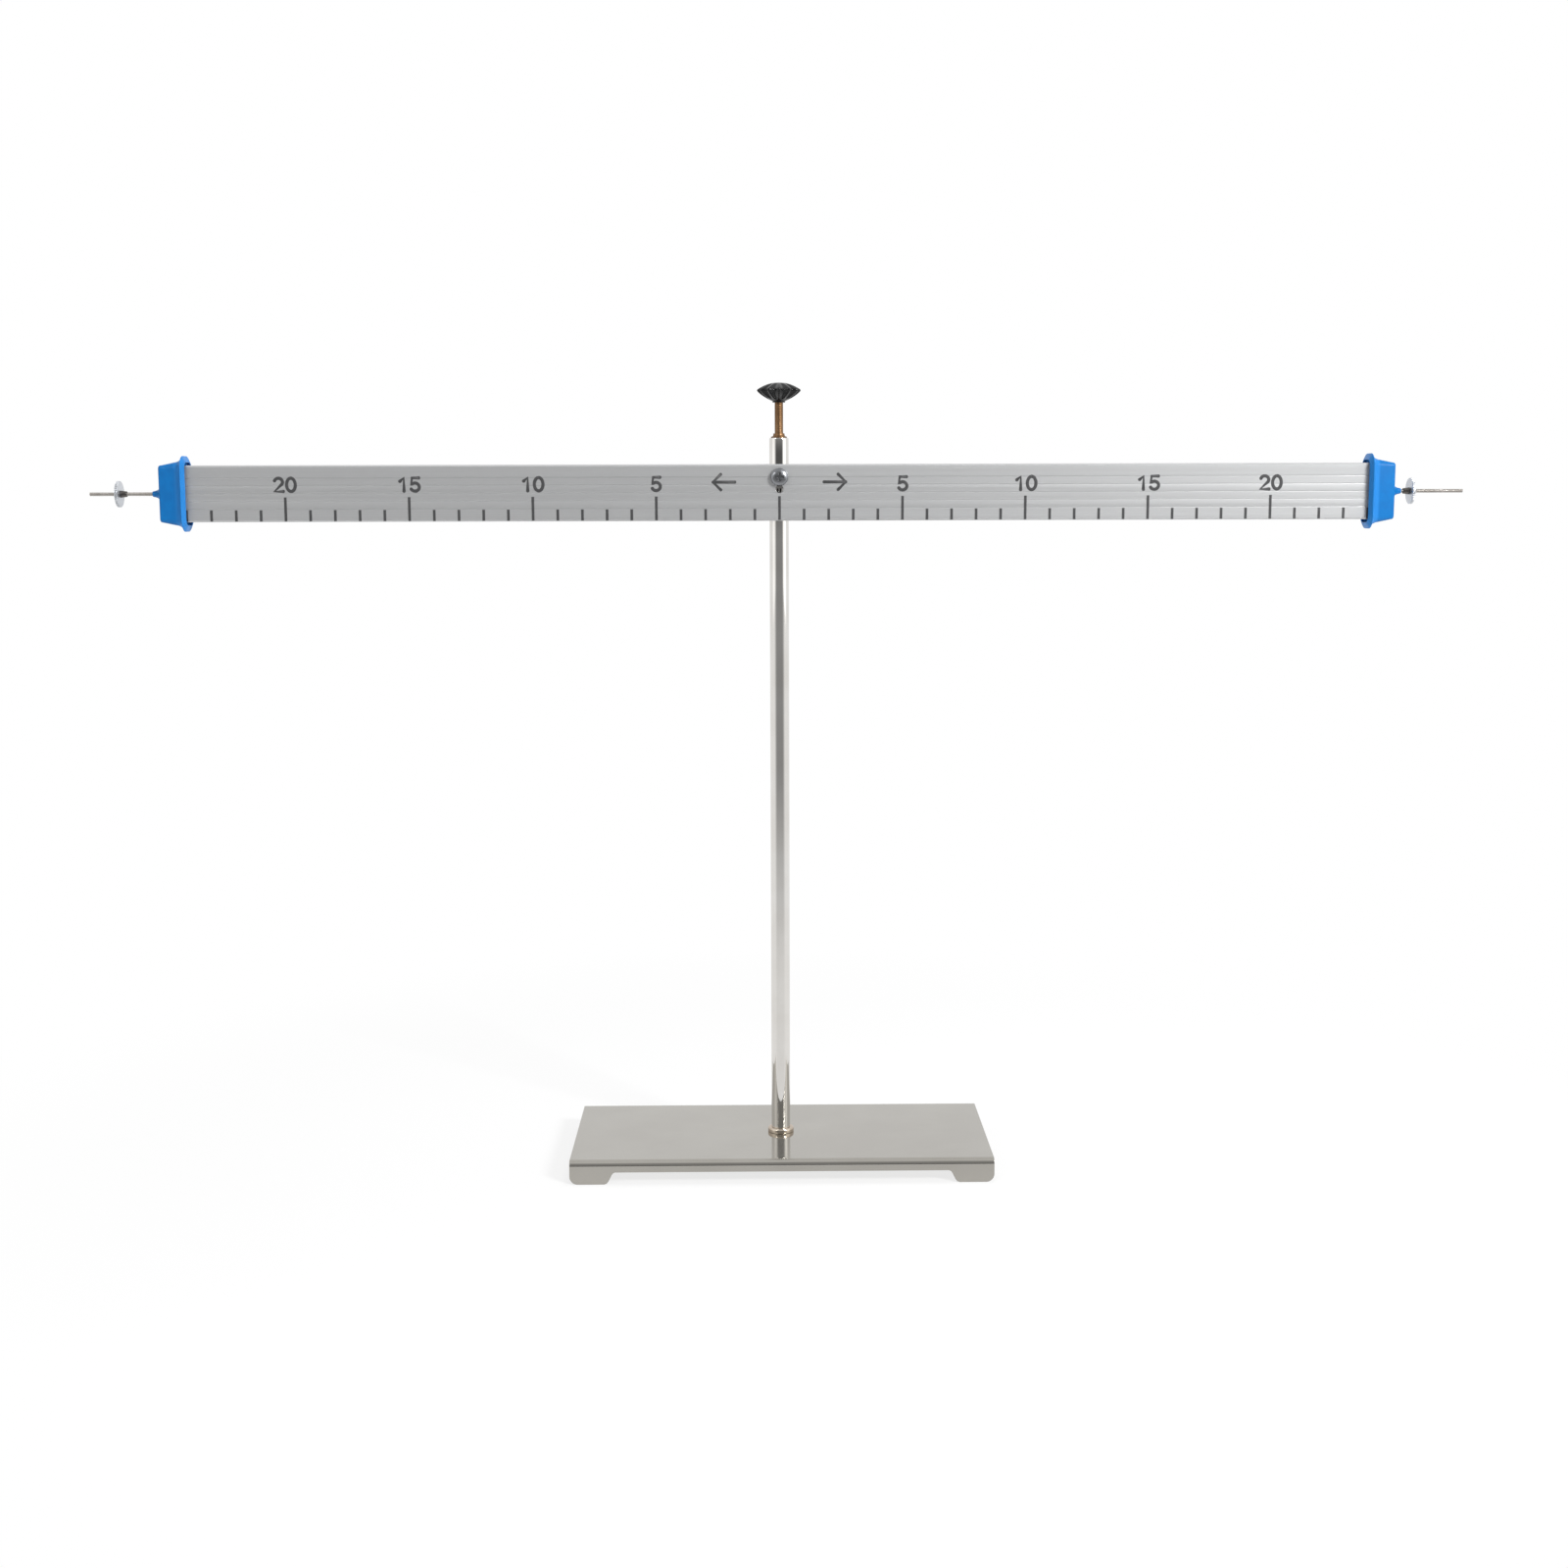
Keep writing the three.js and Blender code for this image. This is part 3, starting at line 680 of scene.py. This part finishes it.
post_radius = post_high.x
stud_end = post_low.z
flat_ends = [pivot.z - FLAT_HALF, pivot.z + FLAT_HALF]
post_mesh = spun(rounded([
    (0, stud_end, 0), (STUD, stud_end, 0.4), (STUD, collar_high.z, 0), (post_radius, collar_high.z, 0.2),
    (post_radius, flat_ends[0] - WELD * 2, 0), (post_radius, flat_ends[0], 0),
    (post_radius, flat_ends[1], 0), (post_radius, flat_ends[1] + WELD * 2, 0),
    (post_radius, post_high.z, POST_EDGE), (POST_BORE, post_high.z, 0.1),
    (POST_BORE, post_high.z - BORE_DEPTH, 0), (0, post_high.z - BORE_DEPTH, 0),
]), steps=128)
for dot in post_mesh.verts:
    if flat_ends[0] - WELD <= dot.co.z <= flat_ends[1] + WELD and dot.co.xy.length > POST_BORE:
        dot.co.y = max(dot.co.y, FLAT_FRONT)
piece("bright_post", post_mesh, "post")

# %% [markdown]
# A brass bush closes the top of the post. Its low flange rises into a flared neck round the
# thumbscrew's stem.

# %% Brass bush
bush_low, bush_high = corners("post_top_bush")
STEM_BORE = 2.05
BUSH_WALL = 0.7
NECK_RISE = 0.7
NECK_WALL = 0.25
FLANGE_EDGE = 0.1
FLANGE_SHOULDER = 0.3
NECK_START = 0.4
NECK_BEND = 0.6

bush_end = bush_low.z - post_high.z
bush_top = bush_high.z - post_high.z
bush_radius = bush_high.x
bush_neck = STEM_BORE + NECK_WALL
flange_top = bush_top / 2
neck_top = bush_top + NECK_RISE
shoulder = bush_radius - FLANGE_SHOULDER
piece("brass_bush", spun([
    (STEM_BORE, bush_end), (STEM_BORE + BUSH_WALL, bush_end), (STEM_BORE + BUSH_WALL, 0),
    (bush_radius - FLANGE_EDGE, 0),
    *bend((bush_radius, FLANGE_EDGE), (bush_radius, flange_top), (shoulder, flange_top), steps=4),
    *bend(
        (bush_radius - NECK_START, flange_top), (bush_neck, bush_top * NECK_BEND), (bush_neck, neck_top)),
    (STEM_BORE, neck_top),
]), "post_top_bush", Matrix.Translation((0, 0, post_high.z)))

# %% [markdown]
# The pivot screw's domed head carries a cross recess. Its form is in the node too, so it is only
# softened. The washers and the nut under the plate get the same treatment, because they show from
# below.

# %% Pivot screw and small hardware
evened(piece("cross_head_screw", softened("pivot_screw", width=0.1), "pivot_screw", crease=WIDE_CREASE))
HARDWARE = {"spacer_washer": "pivot_spacer", "clamp_washer": "base_washer", "clamp_nut": "base_nut"}
for name, node in HARDWARE.items():
    evened(piece(name, softened(node, width=0.1), node))

# %% [markdown]
# ## Beam
# The beam is a drilled hollow extrusion with fine grooves along both faces. It is softened as well,
# with the bush that lines its pivot hole. Drawing it anew would only repeat what the node has.

# %% Extruded beam and its bush
evened(piece("extruded_beam", softened("lever_beam", width=0.12), "lever_beam", crease=FINE_CREASE))
evened(piece("pivot_liner", softened("pivot_bush", width=0.08), "pivot_bush"))

# %% [markdown]
# ## Printed scale
# A mark stands at every centimetre, a longer one at every fifth, and every fifth but the middle one
# has its number. The print could be painted by the beam's own finish, but an edge in a texture
# blurs when it is baked. Here the ink is a very thin solid that lies on the face, which stays crisp
# at any distance.

# %% Marks at every centimetre
CENTIMETRE = 10
LONG_EVERY = 5
LAST_MARK = 24
MARK_WIDTH = 1.1
MARK_LOW = 0.3
SHORT_MARK = 4.8
LONG_MARK = 9.9
INK_HEIGHT = 0.04
INK_COLOURS = ((0.035, 0.035, 0.037), (0.05, 0.05, 0.052))
INK_ROUGHNESS = 0.5

ink, ink_shader, start = new_material("printed_ink")
tinted(ranged(grain(start, scale=3000), 0, 1), *INK_COLOURS).into(ink_shader.inputs["Base Color"])
ink_shader.inputs["Roughness"].default_value = INK_ROUGHNESS


def printed(name, mesh):
    """Lays a flat mesh of ink on the beam's front face. It is drawn in X and Z, in millimetres."""
    mesh.transform(Matrix.Scale(MM, 4))
    made = linked(name, mesh, ink)
    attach(made, "lever")
    print(name, len(made.data.polygons), "faces")


marks = bmesh.new()
for number in range(-LAST_MARK, LAST_MARK + 1):
    height = SHORT_MARK if number % LONG_EVERY else LONG_MARK
    size = Vector((MARK_WIDTH, INK_HEIGHT * 2, height - MARK_LOW))
    middle = Vector((number * CENTIMETRE, beam_low.y, beam_low.z + (height + MARK_LOW) / 2))
    bmesh.ops.create_cube(marks, size=1, matrix=Matrix.Translation(middle) @ Matrix.Diagonal((*size, 1)))
printed("scale_marks", marks)

# %% [markdown]
# The numbers are drawn with round strokes. A text object would be quicker, but its plain built-in
# face has a foot under the 1. Each digit is a short path of arcs and lines, and the stroke is a
# flattened tube along it.

# %% Strokes of the digits
DIGIT_HEIGHT = 5.3
DIGIT_STEP = 5
STROKE = 1.4
DIGIT_FOOT = 12.3


def arc(centre, radii, first, last, steps=14):
    """Points on an ellipse from one angle to another, in degrees."""
    angles = [math.radians(first + (last - first) * step / steps) for step in range(steps + 1)]
    return [(centre[0] + radii[0] * math.cos(a), centre[1] + radii[1] * math.sin(a)) for a in angles]


digit_paths = {
    "0": [arc((0, 0.5), (0.33, 0.5), 90, 450, 28)],
    "1": [[(-0.2, 0.74), (0.1, 0.98), (0.1, 0)]],
    "2": [arc((0, 0.71), (0.31, 0.29), 160, -35) + [(-0.32, 0), (0.34, 0)]],
    "5": [[(0.29, 1), (-0.22, 1), (-0.29, 0.52)] + arc((0, 0.31), (0.33, 0.31), 130, -150)],
}


def stroked(paths, width):
    """Draws paths in X and Z with a round stroke and gives them back as one flat mesh."""
    curve = bpy.data.curves.new("stroke", "CURVE")
    curve.dimensions = "3D"
    curve.bevel_depth = width / 2
    curve.bevel_resolution = 3
    curve.use_fill_caps = True
    for path in paths:
        line = curve.splines.new("POLY")
        line.points.add(len(path) - 1)
        for dot, (x, z) in zip(line.points, path):
            dot.co = (x, 0, z, 1)
    holder = bpy.data.objects.new("stroke", curve)
    mesh = bmesh.new()
    mesh.from_mesh(holder.to_mesh())
    for path in paths:
        for x, z in (path[0], path[-1]):
            spot = Matrix.Translation((x, 0, z))
            bmesh.ops.create_uvsphere(mesh, u_segments=12, v_segments=8, radius=width / 2, matrix=spot)
    bpy.data.objects.remove(holder)
    bmesh.ops.scale(mesh, vec=(1, INK_HEIGHT * 2 / width, 1), verts=mesh.verts[:])
    bmesh.ops.remove_doubles(mesh, verts=mesh.verts[:], dist=WELD)
    return mesh


number_paths = []
for number in range(LONG_EVERY, LAST_MARK, LONG_EVERY):
    text = str(number)
    for side in (-1, 1):
        for i, digit in enumerate(text):
            shift = side * number * CENTIMETRE + (i - (len(text) - 1) / 2) * DIGIT_STEP
            for path in digit_paths[digit]:
                number_paths.append([(x * DIGIT_HEIGHT + shift, z * DIGIT_HEIGHT) for x, z in path])
numbers = stroked(number_paths, STROKE)
bmesh.ops.translate(numbers, vec=(0, beam_low.y, beam_low.z + DIGIT_FOOT), verts=numbers.verts[:])
printed("scale_numbers", numbers)

# %% [markdown]
# Near the pivot, a plain arrow on each side shows the way out along the beam.

# %% Arrows
ARROW_PLACE = 22.5
ARROW_HALF = 4.4
ARROW_HEAD = 3.1
ARROW_HEIGHT = 15.6
ARROW_STROKE = 1.3
arrow_paths = []
for side in (-1, 1):
    tip = side * (ARROW_PLACE + ARROW_HALF)
    barb = tip - side * ARROW_HEAD
    arrow_paths.append([(side * (ARROW_PLACE - ARROW_HALF), 0), (tip, 0)])
    arrow_paths.append([(barb, ARROW_HEAD), (tip, 0), (barb, -ARROW_HEAD)])
arrows = stroked(arrow_paths, ARROW_STROKE)
bmesh.ops.translate(arrows, vec=(0, beam_low.y, beam_low.z + ARROW_HEIGHT), verts=arrows.verts[:])
printed("scale_arrows", arrows)

# %% [markdown]
# ## End caps
# Each cap is a thin moulded plug with a lip that flares out and curls back towards the beam. Its
# wall is one path. The path walks round the rounded rectangle of the beam: a quarter spin at each
# corner, and a straight pull between them. A loft would need every ring worked out by hand.

# %% Wall of a cap
CAP_LENGTH = 11.2
CAP_WALL = 0.9
CAP_FLOOR = 4.2
CAP_CORNER = 2.6
CAP_EDGE = 1.1
CAP_DRAFT = 1.1
CAP_CLEARANCE = 0.3
LIP_START = 6.3
LIP_CREST = 9.9
LIP_RISE = 2.6
LIP_TIP = 0.2
POCKET_MOUTH = 9.6

crest = LIP_CREST
end = CAP_LENGTH
cap_path = [
    # The rounded edge of the cap's end, then its drafted wall
    *bend((0, -CAP_DRAFT - CAP_EDGE), (0, -CAP_DRAFT), (CAP_EDGE, -CAP_DRAFT)),
    # The flare of the lip and its crest
    *bend((LIP_START, 0), (crest - 0.7, 0.4), (crest - 0.18, LIP_RISE - 0.15), steps=10),
    *bend(
        (crest - 0.12, LIP_RISE - 0.02), (crest, LIP_RISE + 0.1), (crest + 0.15, LIP_RISE - 0.06), steps=4),
    # The curl back towards the beam and its thin edge
    *bend((crest + 0.22, LIP_RISE - 0.2), (end - 0.55, LIP_RISE * 0.62), (end, LIP_TIP), steps=10),
    *bend(
        (end - 0.05, LIP_TIP - 0.2), (end - 0.2, LIP_TIP - 0.32), (end - 0.42, LIP_TIP - 0.2), steps=4),
    # The hollow behind the lip, then the pocket for the beam
    *bend((end - 0.75, LIP_TIP + 0.2), (end - 1, LIP_RISE / 3), (POCKET_MOUTH, LIP_RISE / 3)),
    Vector((POCKET_MOUTH, -CAP_WALL)),
    Vector((CAP_FLOOR, -CAP_WALL)),
]


def walked(path, half_depth, half_height, radius, steps=10):
    """Walks a path of (inward, outward) points round a rounded rectangle in Y and Z."""
    mesh = bmesh.new()
    depth = half_depth - radius
    height = half_height - radius
    dots = [mesh.verts.new((-inward, half_depth + outward, height)) for inward, outward in path]
    row = [mesh.edges.new(pair) for pair in zip(dots, dots[1:])]
    for corner, pull in (
        ((depth, height), (-2 * depth, 0)), ((-depth, height), (0, -2 * height)),
        ((-depth, -height), (2 * depth, 0)), ((depth, -height), (0, 2 * height)),
    ):
        turned = bmesh.ops.spin(
            mesh, geom=dots + row, cent=(0, *corner), axis=(1, 0, 0), dvec=(0, 0, 0), angle=QUARTER,
            steps=steps, use_merge=False)["geom_last"]
        row = [part for part in turned if isinstance(part, bmesh.types.BMEdge)]
        pulled = bmesh.ops.extrude_edge_only(mesh, edges=row)["geom"]
        dots = [part for part in pulled if isinstance(part, bmesh.types.BMVert)]
        edges = [part for part in pulled if isinstance(part, bmesh.types.BMEdge)]
        row = [edge for edge in edges if set(edge.verts) <= set(dots)]
        bmesh.ops.translate(mesh, vec=(0, *pull), verts=dots)
    return welded(mesh)


print("cap path has", len(cap_path), "points")

# %% [markdown]
# The nub in the middle of the cap's end is a small cone with a hollow foot. It is spun, and both
# shells share one mesh. The left cap is the right one turned round.

# %% Both caps
NUB_LENGTH = 3.3
NUB_RADIUS = 3.1
NUB_TIP = 1.18
NUB_SINK = 0.6
NUB_FILLET = 0.4
NUB_EDGE = 0.15
NUB_SHOULDER = 0.5
NUB_BEND = 0.35
NUB_TIP_LENGTH = 0.3
ROD_BORE = 0.95

beam_half = (beam_high - beam_low) / 2
LEVEL_OUT = Matrix.Rotation(QUARTER, 4, "Y")


def end_cap():
    """The wall and the nub of a cap, with its outer face at the origin and its nub along X."""
    growth = CAP_CLEARANCE + CAP_WALL
    wall = walked(cap_path, beam_half.y + growth, beam_half.z + growth, CAP_CORNER)
    outer = NUB_RADIUS + NUB_FILLET
    waist = (NUB_RADIUS - NUB_SHOULDER, NUB_FILLET)
    tip = (NUB_TIP, NUB_LENGTH - NUB_TIP_LENGTH)
    foot = bend((outer, -0.02), (NUB_RADIUS - 0.1, 0), waist, steps=5)
    neck = bend(waist, (NUB_TIP + NUB_EDGE, NUB_LENGTH * NUB_BEND), tip)
    nub = spun([
        (ROD_BORE, -NUB_SINK), (outer, -NUB_SINK), *foot, *neck[1:],
        (NUB_TIP - NUB_EDGE, NUB_LENGTH), (ROD_BORE, NUB_LENGTH),
    ], steps=48)
    nub.transform(LEVEL_OUT)
    return joined(wall, nub)


middle_line = Matrix.Translation((0, beam_middle.y, beam_middle.z))
halves = {"left": middle_line @ Matrix.Rotation(math.pi, 4, "Z"), "right": middle_line}
ends = {}
for side, half in halves.items():
    cap_low, cap_high = corners(f"{side}_end_cap")
    cap_face = (cap_high.x if side == "right" else -cap_low.x) - NUB_LENGTH
    ends[side] = half @ Matrix.Translation((cap_face, 0, 0))
    piece(f"{side}_moulded_cap", end_cap(), f"{side}_end_cap", ends[side])

# %% [markdown]
# ## Balance rods and nuts
# A fine-threaded rod stands out of each cap, held by a flat head inside. A nut is a knurled disc
# with a conical hub on its inner side. The knurl is a spun ring whose every fourth column of points
# is pulled in.

# %% Threaded rods
ROD_RADIUS = 0.75
ROD_ROOT = 0.65
ROD_PITCH = 0.4
ROD_REACH = 28.8
ROD_HEAD_RADIUS = 1.7
ROD_HEAD_HEIGHT = 1.4

head_end = -CAP_FLOOR - ROD_HEAD_HEIGHT
for side in ends:
    rod = threaded(ROD_RADIUS, ROD_ROOT, ROD_PITCH, -CAP_FLOOR, ROD_REACH)
    head = spun(rounded([
        (0, head_end, 0), (ROD_HEAD_RADIUS, head_end, 0.3), (ROD_HEAD_RADIUS, -CAP_FLOOR, 0.1),
        (0, -CAP_FLOOR, 0),
    ]), steps=32)
    piece(f"{side}_threaded_rod", joined(rod, head), f"{side}_balance_rod", ends[side] @ LEVEL_OUT)

# %% Knurled discs and their hubs
DISC_RADIUS = 5.3
DISC_THICKNESS = 1.2
KNURLS = 36
KNURL_DEPTH = 0.22
KNURL_REACH = 0.3
KNURL_STEPS = 4
HUB_LENGTH = 2.5
HUB_RADIUS = 1.45
HUB_TIP = 1.12


def knurled_disc():
    """A flat ring with its inner face at the origin and a knurled rim."""
    columns = KNURLS * KNURL_STEPS
    mesh = spun(rounded([
        (ROD_BORE, 0, 0.1), (DISC_RADIUS, 0, 0.25), (DISC_RADIUS, DISC_THICKNESS, 0.25),
        (ROD_BORE, DISC_THICKNESS, 0.1),
    ]), columns)
    for dot in mesh.verts:
        column = round(math.atan2(dot.co.y, dot.co.x) / math.tau * columns)
        on_rim = dot.co.xy.length > DISC_RADIUS - KNURL_REACH
        if on_rim and column % KNURL_STEPS == KNURL_STEPS // 2:
            dot.co.xy *= 1 - KNURL_DEPTH / DISC_RADIUS
    return mesh


def nut_hub():
    """A cone that ends at the origin, where the disc begins."""
    return spun(rounded([
        (ROD_BORE, -HUB_LENGTH, 0.08), (HUB_TIP, -HUB_LENGTH, 0.12), (HUB_RADIUS, 0, 0.1),
        (ROD_BORE, 0, 0.08),
    ]), steps=48)


for side, half in halves.items():
    disc_low, disc_high = corners(f"{side}_nut_disc")
    hub_low, hub_high = corners(f"{side}_nut_hub")
    disc_place = disc_low.x if side == "right" else -disc_high.x
    hub_place = hub_high.x if side == "right" else -hub_low.x
    disc_at = half @ Matrix.Translation((disc_place, 0, 0)) @ LEVEL_OUT
    hub_at = half @ Matrix.Translation((hub_place, 0, 0)) @ LEVEL_OUT
    piece(f"{side}_knurled_disc", knurled_disc(), f"{side}_nut_disc", disc_at)
    piece(f"{side}_conical_hub", nut_hub(), f"{side}_nut_hub", hub_at)

# %% [markdown]
# ## Thumbscrew
# The stem is brass with a full thread. The knob is one lens-shaped profile. Its flutes are made
# after the spin by pulling every point towards the axis by a wave that fades out near the hub,
# because the moulded flutes do too.

# %% Threaded stem
STEM_ROOT = 1.69
STEM_PITCH = 0.7

stem_low, stem_high = corners("thumbscrew_stem")
stem = threaded(stem_high.x, STEM_ROOT, STEM_PITCH, stem_low.z, stem_high.z, sides=32)
piece("threaded_stem", stem, "thumbscrew_stem")

# %% Fluted knob
KNOB_RADIUS = 9.2
KNOB_HEIGHT = 8
KNOB_HUB = 2.6
KNOB_HUB_HEIGHT = 0.5
KNOB_RIM = 4.9
RIM_ROUND = 0.5
FLUTES = 12
FLUTE_STEPS = 16
FLUTE_SHARE = 0.18
FLUTE_START = 2.9
FLUTE_FULL = 6.4
KNOB_BELLY = 0.75


def fluted_knob():
    """The knob with its underside at the origin."""
    rim = KNOB_RADIUS - RIM_ROUND
    below = (rim, KNOB_RIM - RIM_ROUND)
    above = (rim, KNOB_RIM + RIM_ROUND)
    belly = (KNOB_RADIUS * KNOB_BELLY, KNOB_RIM / 2)
    profile = [
        Vector((KNOB_HUB, 0)),
        *bend((KNOB_HUB, KNOB_HUB_HEIGHT), belly, below, steps=14),
        *bend(below, (KNOB_RADIUS, KNOB_RIM), above, steps=6),
        *bend(above, (KNOB_RADIUS / 2, KNOB_HEIGHT), (KNOB_HUB / 2, KNOB_HEIGHT), steps=14),
        Vector((0, KNOB_HEIGHT)), Vector((0, 0)),
    ]
    mesh = spun(profile, FLUTES * FLUTE_STEPS)
    for dot in mesh.verts:
        reach = dot.co.xy.length
        share = min(max((reach - FLUTE_START) / (FLUTE_FULL - FLUTE_START), 0), 1)
        fade = share * share * (3 - 2 * share)
        wave = (1 - math.cos(math.atan2(dot.co.y, dot.co.x) * FLUTES)) / 2
        dot.co.xy *= 1 - FLUTE_SHARE * wave * fade
    return mesh


knob_low = corners("thumbscrew_knob")[0]
piece("fluted_knob", fluted_knob(), "thumbscrew_knob", Matrix.Translation((0, 0, knob_low.z)))

# %% Finish
print("pieces made")
